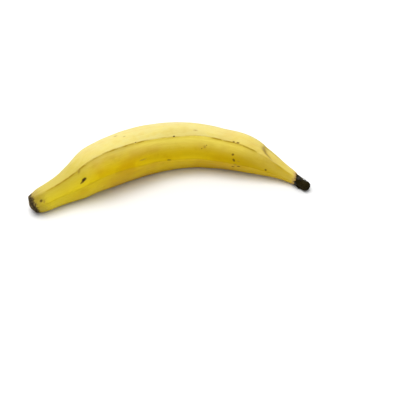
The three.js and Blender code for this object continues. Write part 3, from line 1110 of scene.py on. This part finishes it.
class Patterns:
    """The effects that the finishes share, each built once as a node group that gives a mask."""

    VECTOR = "NodeSocketVector"
    NUMBER = "NodeSocketFloat"
    STREAK_CLOUD: Cloud = (1.0, 3.0, 0.55)
    SPECK_LEAST = 0.4
    SPECK_CORE = 0.45

    def __init__(self) -> None:
        """Builds the four node groups."""
        self.streaks = self._streaks()
        self.specks = self._specks()
        self.blemish = self._blemish()
        self.crackle = self._crackle()

    def _open(self, name: str, inputs: Mapping[str, str]) -> tuple[NodeSheet, Mapping[str, Socket]]:
        """Starts a node group.

        Args:
            name: the group's name.
            inputs: the type of each input by its name.

        Returns:
            The sheet to build on, and the group's inputs by name.
        """
        tree = bpy.data.node_groups.new(name, "ShaderNodeTree")
        for label, kind in inputs.items():
            tree.interface.new_socket(name=label, in_out="INPUT", socket_type=kind)
        tree.interface.new_socket(name="Mask", in_out="OUTPUT", socket_type=self.NUMBER)
        sheet = NodeSheet(tree)
        return sheet, sheet.add("NodeGroupInput").outputs

    def _close(self, sheet: NodeSheet, mask: Socket) -> bpy.types.NodeTree:
        """Feeds the mask to the group's output and gives the finished group."""
        sheet.add("NodeGroupOutput", {"Mask": mask})
        return sheet.tree

    def streaked(self, sheet: NodeSheet, grain: Feed, sizes: Triple) -> Socket:
        """Places streaks of a width, a length and a softness."""
        feeds = dict(zip(("Width", "Length", "Softness"), sizes))
        return sheet.group(self.streaks, {"Grain": grain} | feeds)

    def specked(self, sheet: NodeSheet, grain: Feed, sizes: Triple) -> Socket:
        """Places specks of a spacing and a size, of which a share is kept."""
        feeds = dict(zip(("Spacing", "Size", "Share"), sizes))
        return sheet.group(self.specks, {"Grain": grain} | feeds)

    def _streaks(self) -> bpy.types.NodeTree:
        """Builds streaks that run with the grain: 0 between them and 1 on them."""
        kinds = {"Grain": self.VECTOR} | dict.fromkeys(("Width", "Length", "Softness"), self.NUMBER)
        sheet, given = self._open("fibre streaks", kinds)
        width = given["Width"]
        sizes = sheet.add("ShaderNodeCombineXYZ", {0: width, 1: width, 2: given["Length"]})
        places = sheet.vector("DIVIDE", given["Grain"], sizes.outputs[0])
        cloud = sheet.noise(places, *self.STREAK_CLOUD)
        low = sheet.math("SUBTRACT", 0.5, given["Softness"])
        high = sheet.math("ADD", 0.5, given["Softness"])
        return self._close(sheet, sheet.span(cloud, low, high))

    def _specks(self) -> bpy.types.NodeTree:
        """Builds scattered round specks of uneven size, some of which are left out."""
        kinds = {"Grain": self.VECTOR} | dict.fromkeys(("Spacing", "Size", "Share"), self.NUMBER)
        sheet, given = self._open("scattered specks", kinds)
        scale = sheet.math("DIVIDE", 1.0, given["Spacing"])
        cells = sheet.add("ShaderNodeTexVoronoi", {"Vector": given["Grain"], "Scale": scale})
        away = sheet.times(cells.outputs["Distance"], given["Spacing"])
        chance = sheet.add("ShaderNodeSeparateColor", {0: cells.outputs["Color"]})
        reach = sheet.times(given["Size"], sheet.math("ADD", chance.outputs[1], self.SPECK_LEAST))
        dot = sheet.span(away, reach, sheet.times(reach, self.SPECK_CORE))
        kept = sheet.math("LESS_THAN", chance.outputs[0], given["Share"])
        return self._close(sheet, sheet.times(dot, kept))

    def _blemish(self) -> bpy.types.NodeTree:
        """Builds one long mark: 1 inside it and 0 outside, with a soft edge."""
        names = ("Grain", "Centre", "Along", "Across", "Outward")
        kinds = {name: self.VECTOR for name in names} | {"Softness": self.NUMBER}
        sheet, given = self._open("placed blemish", kinds)
        offset = sheet.vector("SUBTRACT", given["Grain"], given["Centre"])
        parts = {
            number: sheet.vector("DOT_PRODUCT", offset, given[name])
            for number, name in enumerate(("Along", "Across", "Outward"))
        }
        reach = sheet.vector("LENGTH", sheet.add("ShaderNodeCombineXYZ", parts).outputs[0])
        outer = sheet.math("ADD", 1.0, given["Softness"])
        inner = sheet.math("SUBTRACT", 1.0, given["Softness"])
        return self._close(sheet, sheet.span(reach, outer, inner))

    def _crackle(self) -> bpy.types.NodeTree:
        """Builds the fine cracks of dried tissue: 1 in a crack and 0 beside it."""
        kinds = {"Grain": self.VECTOR, "Size": self.NUMBER, "Width": self.NUMBER}
        sheet, given = self._open("dry crackle", kinds)
        scale = sheet.math("DIVIDE", 1.0, given["Size"])
        feeds = {"Vector": given["Grain"], "Scale": scale}
        cells = sheet.add("ShaderNodeTexVoronoi", feeds, feature="DISTANCE_TO_EDGE")
        away = sheet.times(cells.outputs["Distance"], given["Size"])
        return self._close(sheet, sheet.span(away, given["Width"], 0.0))


@dataclass(frozen=True)
class DriedFinish:
    """A dead, dry tissue: matt, streaked along the grain and cracked."""

    dark: Colour
    light: Colour
    edge: Colour
    roughness: float
    streak_width: float = 0.0006
    streak_length: float = 0.006
    streak_softness: float = 0.14
    crack_size: float = 0.0016
    crack_width: float = 0.00016
    bump_strength: float = 0.6
    bump_depth: float = 0.0001
    bump_size: float = 0.0006

    def colour(self, sheet: NodeSheet, grain: Socket, patterns: Patterns) -> Socket:
        """Adds the nodes for this tissue's colour.

        Args:
            sheet: where the nodes go.
            grain: the straightened coordinates.
            patterns: the shared node groups.

        Returns:
            The colour.
        """
        sizes = (self.streak_width, self.streak_length, self.streak_softness)
        return sheet.tint(patterns.streaked(sheet, grain, sizes), self.dark, self.light)

    def material(self, name: str, patterns: Patterns) -> bpy.types.Material:
        """Makes a material of this tissue alone, which reads Object coordinates.

        Args:
            name: the material's name.
            patterns: the shared node groups.

        Returns:
            The material.
        """
        material, sheet, shader = new_material(name)
        places = sheet.add("ShaderNodeTexCoord").outputs["Object"]
        colour = self.colour(sheet, places, patterns)
        feeds = {"Grain": places, "Size": self.crack_size, "Width": self.crack_width}
        cracks = sheet.group(patterns.crackle, feeds)
        sheet.feed(shader.inputs["Base Color"], sheet.tint(cracks, colour, self.edge))
        shader.inputs["Roughness"].default_value = self.roughness
        height = sheet.noise(places, self.bump_size)
        add_bump(sheet, shader, self.bump_strength, self.bump_depth, height)
        return material


CROWN = DriedFinish(paint(56, 43, 22), paint(132, 112, 74), paint(32, 24, 12), 0.82, 0.0015, 0.0015)
BLOSSOM = DriedFinish(paint(14, 10, 4), paint(38, 30, 14), paint(8, 6, 3), 0.8)


def add_bump(
    sheet: NodeSheet, shader: bpy.types.Node, strength: float, depth: float, height: Socket
) -> None:
    """Gives a shader its fine grain: how strong, how deep, and the height that it comes from."""
    bump = sheet.add("ShaderNodeBump", {"Strength": strength, "Distance": depth, "Height": height})
    sheet.feed(shader.inputs["Normal"], bump.outputs["Normal"])


def new_material(name: str) -> tuple[bpy.types.Material, NodeSheet, bpy.types.Node]:
    """Makes a material with one Principled shader.

    Args:
        name: the material's name.

    Returns:
        The material, the sheet for its nodes, and its shader.
    """
    material = bpy.data.materials.new(name)
    material.use_nodes = True
    material.node_tree.nodes.clear()
    sheet = NodeSheet(material.node_tree)
    shader = sheet.add("ShaderNodeBsdfPrincipled")
    sheet.add("ShaderNodeOutputMaterial", {"Surface": shader.outputs[0]})
    return material, sheet, shader


@dataclass(frozen=True)
class PeelFinish:
    """The ripe peel's skin colours, from the green-yellow neck to the tan end, with its marks and with
    painted highlight and shade.
    """

    sunny: Colour = paint(224, 192, 8)
    golden: Colour = paint(211, 169, 0)
    pale: Colour = paint(212, 203, 132)
    under_ridge_highlight: Colour = paint(240, 219, 92)
    neck_top_shade: Colour = paint(176, 154, 36)
    lemon: Colour = paint(226, 207, 36)
    straw: Colour = paint(200, 171, 50)
    tan: Colour = paint(178, 142, 84)
    olive: Colour = paint(148, 122, 48)
    shaded: Colour = paint(189, 155, 0)
    back_edge_shade: Colour = paint(184, 172, 80)
    ridge: Colour = paint(162, 132, 30)
    crease: Colour = paint(126, 98, 0)
    scar: Colour = paint(56, 36, 20)
    spot: Colour = paint(96, 68, 16)
    smear: Colour = paint(158, 122, 50)
    roughness: float = 0.40
    coat: float = 0.05
    coat_roughness: float = 0.3
    specular_level: float = 0.15
    specular_tint: Colour = paint(255, 236, 130)
    patch_stretch: Triple = (1.0, 1.0, 0.6)
    patch_cloud: Cloud = (0.022, 3.0)
    patch_ramp: Ramp = (0.42, 0.64)
    small_stretch: Triple = (1.0, 1.0, 0.7)
    small_cloud: Cloud = (0.006, 3.0, 0.6)
    small_ramp: Ramp = (0.52, 0.72, 0.0, 0.35)
    wander: Ramp = (0.2, 0.8, -0.012, 0.012)
    lemon_ramp: Ramp = (0.078, 0.018, 0.0, 0.85)
    under_rise: Ramp = (0.1, 0.6)
    under_fall: Ramp = (0.99, 0.93)
    under_reach: Ramp = (0.012, 0.009)
    deeper_ramp: Ramp = (0.165, 0.23, 0.0, 0.85)
    deeper_top_light: Ramp = (0.01, 0.05, 0.4, 1.0)
    mid_band: Reach = ((0.025, 0.06), (0.12, 0.3))
    mid_band_share: float = 0.4
    mid_band_start: Ramp = (0.09, 0.13)
    duller_ramp: Ramp = (0.078, 0.032, 0.0, 0.8)
    straw_ramp: Ramp = (0.262, 0.284, 0.0, 0.8)
    pale_rise: Ramp = (0.03, 0.085, 0.3, 1.0)
    pale_fall: Ramp = (0.17, 0.25, 1.0, 0.62)
    pale_clouds: Ramp = (0.3, 0.75, 0.85, 0.62)
    pale_least: Ramp = (0.02, 0.2)
    bright_reach: Reach = ((0.08, 0.14), (0.2, 0.25))
    streaks: Triple = (0.0009, 0.016, 0.16)
    streak_share: float = 0.16
    specks: Triple = (0.0042, 0.00035, 0.32)
    speck_share: float = 0.45
    broken_stretch: Triple = (1.0, 1.0, 0.25)
    broken_cloud: Cloud = (0.0022, 3.0, 0.6)
    neck_wear: Reach = ((0.008, 0.03), (0.115, 0.14))
    mid_wear: Reach = ((0.115, 0.14), (0.182, 0.19))
    mid_wear_share: float = 0.2
    far_wear: Reach = ((0.186, 0.198), (0.236, 0.243))
    fold_wear: Reach = ((0.253, 0.259), (0.270, 0.277))
    fold_wear_share: float = 0.6
    narrow_ramp: Ramp = (0.1, 0.9, 0.0, 0.3)
    narrow_start: Ramp = (0.05, 0.09)
    every_reach: Ramp = (0.0016, 0.0002)
    every_broken: Ramp = (0.42, 0.62, 0.05, 0.4)
    below_ridge: Ramp = (0.99, 0.95)
    glow_reach: Ramp = (0.0032, 0.0004)
    glow_share: float = 0.35
    end_band: Reach = ((0.254, 0.264), (0.276, 0.285))
    end_band_reach: Ramp = (0.0060, 0.0006, 0.0, 0.55)
    back_reach: Ramp = (0.0065, 0.001)
    back_far: Ramp = (0.009, 0.012)
    back_top_light: Ramp = (0.75, 0.95, 0.0, 0.35)
    line_reach: Ramp = (0.0012, 0.0003)
    line_broken: Ramp = (0.36, 0.56, 0.3, 0.95)
    crease_share: float = 0.92
    smear_share: float = 0.62
    spot_share: float = 0.85
    scar_share: float = 0.95
    smear_softness: float = 0.7
    mark_softness: float = 0.35
    mark_depth: float = 0.004
    mark_dullness: float = 0.6
    warp_size: float = 0.0012
    warp_detail: float = 3.0
    warp_depth: float = 0.0009
    crown_reach: float = 0.0036
    crown_blend: tuple[float, float] = (0.0016, 0.0010)
    fray_cloud: Cloud = (0.0016, 3.0, 0.6)
    cut_fray: Ramp = (0.25, 0.75, -0.0016, 0.0016)
    cut_rim: Reach = ((-0.0025, -0.0006), (0.0008, 0.0026))
    cut_rim_share: float = 0.7
    olive_start: float = 0.0160
    olive_share: float = 0.65
    bundles: Triple = (0.0013, 0.0004, 0.45)
    bundle_ramp: Ramp = (0.0002, -0.0006, 0.0, 0.6)
    crown_cloud: Cloud = (0.005, 3.0, 0.6)
    crown_ramp: Ramp = (0.4, 0.62, 0.0, 0.75)
    tip_fray: Ramp = (0.25, 0.75, -0.0012, 0.0012)
    tan_ramp: Ramp = (-0.0045, -0.0004, 0.0, 0.9)
    tip_ramp: Ramp = (-0.0003, 0.0007)
    uneven_stretch: Triple = (1.0, 1.0, 0.5)
    uneven_cloud: Cloud = (0.008,)
    uneven_ramp: Ramp = (0.3, 0.7, -0.05, 0.05)
    coat_end: float = 0.6
    pore_stretch: Triple = (1.0, 1.0, 0.4)
    pore_cloud: Cloud = (0.0007, 2.0)
    pore_share: float = 0.3
    dry_cloud: Cloud = (0.0009, 3.0, 0.65)
    bump_strength: float = 0.55
    bump_depth: float = 0.00018

    def _ground(self, sheet: NodeSheet, grain: Socket, patterns: Patterns) -> Socket:
        """Adds the peel's ground colour with its patches, streaks and changes along the fruit, with painted
        highlight on the upper face and just under its ridge, and painted shade across the front face and on
        the neck's top.

        Args:
            sheet: where the nodes go.
            grain: the straightened coordinates.
            patterns: the shared node groups.

        Returns:
            The colour.
        """
        distance = sheet.split(grain)[2]
        patches = sheet.clouds(grain, self.patch_stretch, self.patch_cloud)
        colour = sheet.tint(sheet.span(patches, *self.patch_ramp), self.sunny, self.golden)
        small = sheet.clouds(grain, self.small_stretch, self.small_cloud)
        colour = sheet.tint(sheet.span(small, *self.small_ramp), colour, self.shaded)
        wavy = sheet.math("ADD", distance, sheet.span(patches, *self.wander))
        colour = sheet.tint(sheet.span(wavy, *self.lemon_ramp), colour, self.lemon)
        top_light = sheet.split(sheet.read("ends"))[2]
        upper = sheet.split(sheet.read("facets"))[1]
        under_top_light = sheet.times(sheet.span(top_light, *self.under_rise), sheet.span(top_light, *self.under_fall))
        under = sheet.times(under_top_light, sheet.span(upper, *self.under_reach))
        below = sheet.math("SUBTRACT", 1.0, top_light)
        deeper = sheet.times(sheet.span(wavy, *self.deeper_ramp), below)
        deeper = sheet.times(deeper, sheet.span(top_light, *self.deeper_top_light))
        colour = sheet.tint(deeper, colour, self.shaded)
        # Painted shade: the front face is darkened part way down from the upper ridge, where less light
        # falls.
        band = sheet.times(sheet.window(top_light, *self.mid_band), self.mid_band_share)
        band = sheet.times(band, sheet.span(wavy, *self.mid_band_start))
        colour = sheet.tint(band, colour, self.shaded)
        # Painted shade: the neck's upper face is dulled where less light falls on it.
        colour = sheet.tint(sheet.times(sheet.span(wavy, *self.duller_ramp), top_light), colour, self.neck_top_shade)
        colour = sheet.tint(sheet.span(wavy, *self.straw_ramp), colour, self.straw)
        # Painted highlight: the upper face, and a little of the faces beside it, is made paler where the top
        # light falls.
        along = sheet.math("MINIMUM", sheet.span(wavy, *self.pale_rise), sheet.span(wavy, *self.pale_fall))
        along = sheet.times(along, sheet.span(small, *self.pale_clouds))
        top_light = sheet.times(top_light, sheet.span(top_light, *self.pale_least))
        colour = sheet.tint(sheet.times(top_light, along), colour, self.pale)
        # Painted highlight: a lighter band just under the upper ridge, where the light falls.
        under = sheet.times(under, sheet.window(wavy, *self.bright_reach))
        colour = sheet.tint(under, colour, self.under_ridge_highlight)
        streaks = patterns.streaked(sheet, grain, self.streaks)
        colour = sheet.tint(sheet.times(streaks, self.streak_share), colour, self.shaded)
        specks = patterns.specked(sheet, grain, self.specks)
        return sheet.tint(sheet.times(specks, self.speck_share), colour, self.smear)

    def _ridges(self, sheet: NodeSheet, grain: Socket, colour: Socket) -> Socket:
        """Browns the ridges where they rub, dulls the narrow face, and paints shade under the ridge near the
        blossom end and along the back ridge where the upper face turns away.

        Args:
            sheet: where the nodes go.
            grain: the straightened coordinates.
            colour: the colour so far.

        Returns:
            The colour with the ridges on it.
        """
        crest, upper, narrow_face = sheet.split(sheet.read("facets"))
        broken = sheet.clouds(grain, self.broken_stretch, self.broken_cloud)
        distance = sheet.split(grain)[2]
        neck_wear = sheet.window(distance, *self.neck_wear)
        mid_wear = sheet.window(distance, *self.mid_wear)
        far_wear = sheet.window(distance, *self.far_wear)
        fold_wear = sheet.window(distance, *self.fold_wear)
        wear = sheet.math("ADD", neck_wear, far_wear)
        wear = sheet.math("MULTIPLY_ADD", mid_wear, self.mid_wear_share, wear)
        wear = sheet.math("MULTIPLY_ADD", fold_wear, self.fold_wear_share, wear)
        narrow = sheet.span(narrow_face, *self.narrow_ramp)
        narrow = sheet.times(narrow, sheet.span(distance, *self.narrow_start))
        colour = sheet.tint(narrow, colour, self.shaded)
        every = sheet.times(sheet.span(crest, *self.every_reach), sheet.span(broken, *self.every_broken))
        colour = sheet.tint(every, colour, self.shaded)
        top_light = sheet.split(sheet.read("ends"))[2]
        below = sheet.span(top_light, *self.below_ridge)
        glow = sheet.times(sheet.span(upper, *self.glow_reach), sheet.times(wear, self.glow_share), below)
        colour = sheet.tint(glow, colour, self.shaded)
        # Painted shade: a darker band under the upper ridge near the blossom end.
        band = sheet.window(distance, *self.end_band)
        band = sheet.times(band, sheet.span(upper, *self.end_band_reach), below)
        colour = sheet.tint(band, colour, self.shaded)
        # Painted shade: the upper face darkens towards the back ridge, where it turns away from the light.
        back = sheet.times(sheet.span(crest, *self.back_reach), sheet.span(upper, *self.back_far))
        back = sheet.times(back, sheet.span(top_light, *self.back_top_light))
        colour = sheet.tint(back, colour, self.back_edge_shade)
        line = sheet.times(sheet.span(upper, *self.line_reach), sheet.span(broken, *self.line_broken))
        return sheet.tint(sheet.times(line, wear), colour, self.ridge)

    def _mark_masks(
        self, sheet: NodeSheet, grain: Socket, skin: PlantainSkin, patterns: Patterns
    ) -> Mapping[MarkKind, Socket]:
        """Adds one blemish for each mark.

        Args:
            sheet: where the nodes go.
            grain: the straightened coordinates, warped so that edges are ragged.
            skin: the skin, which knows where the marks lie.
            patterns: the shared node groups.

        Returns:
            The mask of all marks of each kind.
        """
        masks: dict[MarkKind, Socket] = {}
        for mark, centre in zip(skin.relief.marks, skin.centres()):
            outward = unit(centre * (1.0 - Z_AXIS))
            around = np.cross(Z_AXIS, outward)
            turn = math.radians(mark.turn)
            along = math.cos(turn) * Z_AXIS + math.sin(turn) * around
            across = math.cos(turn) * around - math.sin(turn) * Z_AXIS
            feeds = {
                "Grain": grain,
                "Centre": tuple(centre),
                "Along": tuple(along / mark.half_length),
                "Across": tuple(across / mark.half_width),
                "Outward": tuple(outward / self.mark_depth),
                "Softness": self.smear_softness if mark.kind is MarkKind.SMEAR else self.mark_softness,
            }
            mask = sheet.group(patterns.blemish, feeds)
            masks[mark.kind] = sheet.math("MAXIMUM", masks[mark.kind], mask) if mark.kind in masks else mask
        return masks

    def material(self, skin: PlantainSkin, patterns: Patterns) -> bpy.types.Material:
        """Makes the skin's material: peel, dried cut and dried blossom run into each other.

        Args:
            skin: the skin, for the places of its marks.
            patterns: the shared node groups.

        Returns:
            The material.
        """
        material, sheet, shader = new_material("plantain peel")
        grain = sheet.read("grain")
        distance = sheet.split(grain)[2]
        past_edge, crease, _ = sheet.split(sheet.read("ends"))
        feeds = {"Vector": grain, "Scale": 1.0 / self.warp_size, "Detail": self.warp_detail}
        cloud = sheet.add("ShaderNodeTexNoise", feeds).outputs["Color"]
        shift = sheet.vector("SUBTRACT", cloud, (0.5, 0.5, 0.5))
        shift = sheet.vector("MULTIPLY", shift, (self.warp_depth,) * 3)
        warped = sheet.vector("ADD", grain, shift)
        colour = self._ridges(sheet, warped, self._ground(sheet, grain, patterns))
        # Painted shade in the fold's crease, partly the crease's own brown colour.
        colour = sheet.tint(sheet.times(crease, self.crease_share), colour, self.crease)
        masks = self._mark_masks(sheet, warped, skin, patterns)
        for kind, share, stain in (
            (MarkKind.SMEAR, self.smear_share, self.smear),
            (MarkKind.SPOT, self.spot_share, self.spot),
            (MarkKind.SCAR, self.scar_share, self.scar),
        ):
            colour = sheet.tint(sheet.times(masks[kind], share), colour, stain)
        fray = sheet.noise(grain, *self.fray_cloud)
        near_cut = sheet.math("ADD", distance, sheet.span(fray, *self.cut_fray))
        outer, inner = self.crown_blend
        dried_cut = sheet.span(near_cut, self.crown_reach + outer, self.crown_reach - inner)
        rim = sheet.window(near_cut, *self.cut_rim)
        greener = sheet.span(near_cut, self.olive_start, self.crown_reach, 0.0, self.olive_share)
        colour = sheet.tint(greener, colour, self.olive)
        crown = CROWN.colour(sheet, grain, patterns)
        bundles = patterns.specked(sheet, warped, self.bundles)
        on_face = sheet.span(distance, *self.bundle_ramp)
        crown = sheet.tint(sheet.times(bundles, on_face), crown, CROWN.edge)
        clouds = sheet.span(sheet.noise(grain, *self.crown_cloud), *self.crown_ramp)
        crown = sheet.tint(clouds, crown, CROWN.dark)
        crown = sheet.tint(sheet.times(rim, self.cut_rim_share), crown, CROWN.edge)
        colour = sheet.tint(dried_cut, colour, crown)
        past = sheet.math("ADD", past_edge, sheet.span(fray, *self.tip_fray))
        colour = sheet.tint(sheet.span(past, *self.tan_ramp), colour, self.tan)
        dried_tip = sheet.span(past, *self.tip_ramp)
        colour = sheet.tint(dried_tip, colour, BLOSSOM.colour(sheet, grain, patterns))
        sheet.feed(shader.inputs["Base Color"], colour)
        dry = sheet.math("MAXIMUM", dried_cut, dried_tip)
        marked = sheet.math("MAXIMUM", masks[MarkKind.SCAR], masks[MarkKind.SPOT])
        dull = sheet.math("MAXIMUM", dry, sheet.times(marked, self.mark_dullness))
        uneven = sheet.clouds(grain, self.uneven_stretch, self.uneven_cloud)
        soft = sheet.math("ADD", sheet.span(uneven, *self.uneven_ramp), self.roughness)
        sheet.feed(shader.inputs["Roughness"], sheet.span(dull, 0.0, 1.0, soft, CROWN.roughness))
        sheet.feed(shader.inputs["Coat Weight"], sheet.span(dull, 0.0, self.coat_end, self.coat, 0.0))
        shader.inputs["Coat Roughness"].default_value = self.coat_roughness
        shader.inputs["Specular IOR Level"].default_value = self.specular_level
        shader.inputs["Specular Tint"].default_value = self.specular_tint
        pores = sheet.clouds(grain, self.pore_stretch, self.pore_cloud)
        dry_grain = sheet.noise(grain, *self.dry_cloud)
        height = sheet.math("ADD", sheet.times(pores, self.pore_share), sheet.times(dry_grain, dry))
        add_bump(sheet, shader, self.bump_strength, self.bump_depth, height)
        return material


@dataclass(frozen=True)
class SoftLamp:
    """A broad soft lamp that shines at the fruit: its place, its width and height, and its power."""

    name: str
    place: tuple[float, float, float]
    size: tuple[float, float]
    power: float


@dataclass
class Studio:
    """The pale floor, the soft lights and the camera."""

    target: Vector = field(default_factory=lambda: Vector((0.02775, -0.0377, 0.0)))
    azimuth: float = -7.0
    elevation: float = 40.0
    distance: float = 1.5
    frame_width: float = 0.384
    sensor: float = 36.0
    floor_radius: float = 6.0
    floor_segments: int = 96
    floor_depth: float = 0.1
    floor_edge: float = 0.03
    floor_edge_steps: int = 4
    floor_colour: Colour = (0.90, 0.90, 0.895, 1.0)
    floor_cloud_colour: Colour = paint(232, 232, 230)
    floor_cloud: Cloud = (0.2,)
    floor_cloud_ramp: Ramp = (0.3, 0.7, 0.0, 0.02)
    floor_roughness: float = 0.85
    floor_specular: float = 0.1
    lamps: tuple[SoftLamp, ...] = (
        SoftLamp("overhead", (-0.30, 0.15, 1.60), (1.5, 1.5), 21.0),
        SoftLamp("behind", (0.0, 2.1, 0.85), (2.8, 1.2), 16.0),
    )
    sky_high: float = 0.75
    sky_low: float = 0.345
    sky_heading: Triple = (0.0, 0.5, 0.87)
    sky_ramp: tuple[float, float] = (-0.3, 0.9)

    def camera(self) -> None:
        """Places the camera at the photograph's angle and makes it the scene's own."""
        turn, rise = math.radians(self.azimuth), math.radians(self.elevation)
        ahead, level = math.cos(turn) * math.cos(rise), math.sin(turn) * math.cos(rise)
        back = Vector((level, -ahead, math.sin(rise)))
        right = Vector((math.cos(turn), math.sin(turn), 0.0))
        data = bpy.data.cameras.new("camera")
        data.sensor_width = self.sensor
        data.lens = self.sensor * self.distance / self.frame_width
        camera = bpy.data.objects.new("camera", data)
        bpy.context.collection.objects.link(camera)
        axes = Matrix((right, back.cross(right), back)).transposed()
        camera.matrix_world = Matrix.Translation(self.target + self.distance * back) @ axes.to_4x4()
        bpy.context.scene.camera = camera

    def floor(self) -> None:
        """Lays the floor, a wide round plate with a rounded edge, with its top at z = 0."""
        bpy.ops.object.select_all(action="DESELECT")
        bpy.ops.mesh.primitive_cylinder_add(
            vertices=self.floor_segments,
            radius=self.floor_radius,
            depth=self.floor_depth,
            location=(0.0, 0.0, -self.floor_depth / 2.0),
        )
        floor = bpy.context.object
        floor.name = floor.data.name = "studio_floor"
        bpy.ops.object.transform_apply(location=True, rotation=False, scale=False)
        bevel = floor.modifiers.new("rounded edge", "BEVEL")
        bevel.width = self.floor_edge
        bevel.segments = self.floor_edge_steps
        bevel.limit_method = "ANGLE"
        bpy.ops.object.modifier_apply(modifier=bevel.name)
        material, sheet, shader = new_material("studio floor")
        places = sheet.add("ShaderNodeTexCoord").outputs["Object"]
        cloud = sheet.span(sheet.noise(places, *self.floor_cloud), *self.floor_cloud_ramp)
        colour = sheet.tint(cloud, self.floor_colour, self.floor_cloud_colour)
        sheet.feed(shader.inputs["Base Color"], colour)
        shader.inputs["Roughness"].default_value = self.floor_roughness
        shader.inputs["Specular IOR Level"].default_value = self.floor_specular
        floor.data.materials.append(material)

    def lights(self) -> None:
        """Hangs the soft lamps, all turned to the fruit, and sets the pale surroundings."""
        for lamp in self.lamps:
            data = bpy.data.lights.new(lamp.name, "AREA")
            data.shape = "RECTANGLE"
            data.size, data.size_y = lamp.size
            data.energy = lamp.power
            light = bpy.data.objects.new(lamp.name, data)
            bpy.context.collection.objects.link(light)
            place = Vector(lamp.place)
            turned = place.to_track_quat("Z", "Y").to_matrix().to_4x4()
            light.matrix_world = Matrix.Translation(place) @ turned
        world = bpy.data.worlds.new("pale surroundings")
        bpy.context.scene.world = world
        world.use_nodes = True
        world.node_tree.nodes.clear()
        sheet = NodeSheet(world.node_tree)
        heading = sheet.add("ShaderNodeTexCoord").outputs["Generated"]
        lean = sheet.vector("DOT_PRODUCT", heading, self.sky_heading)
        strength = sheet.span(lean, *self.sky_ramp, self.sky_low, self.sky_high)
        ground = sheet.add("ShaderNodeBackground", {"Color": (1.0, 1.0, 1.0, 1.0), "Strength": strength})
        sheet.add("ShaderNodeOutputWorld", {"Surface": ground.outputs[0]})

    def build(self) -> None:
        """Sets the camera, the floor and the lights, and shows colours as they are."""
        self.camera()
        self.floor()
        self.lights()
        bpy.context.scene.view_settings.view_transform = "Standard"
        bpy.context.scene.view_settings.look = "None"


def dress(piece: bpy.types.Object, material: bpy.types.Material) -> None:
    """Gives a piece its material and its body."""
    piece.data.materials.clear()
    piece.data.materials.append(material)
    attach(piece, BODY)
    LOG.info("%s: %d faces", piece.name, len(piece.data.polygons))


def main() -> None:
    """Builds the fruit and the studio."""
    logging.basicConfig(level=logging.INFO, format="%(message)s")
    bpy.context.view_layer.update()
    form = FruitForm()
    skin = PlantainSkin(form, SkinRelief(form))
    patterns = Patterns()
    peel = skin.build()
    dress(peel, PeelFinish().material(skin, patterns))
    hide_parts(NODE)
    dress(FrayedCrown(form).build(), CROWN.material("dried fibres", patterns))
    dress(BlossomShreds(form).build(), BLOSSOM.material("dried blossom", patterns))
    Studio().build()


if __name__ == "__main__":
    main()
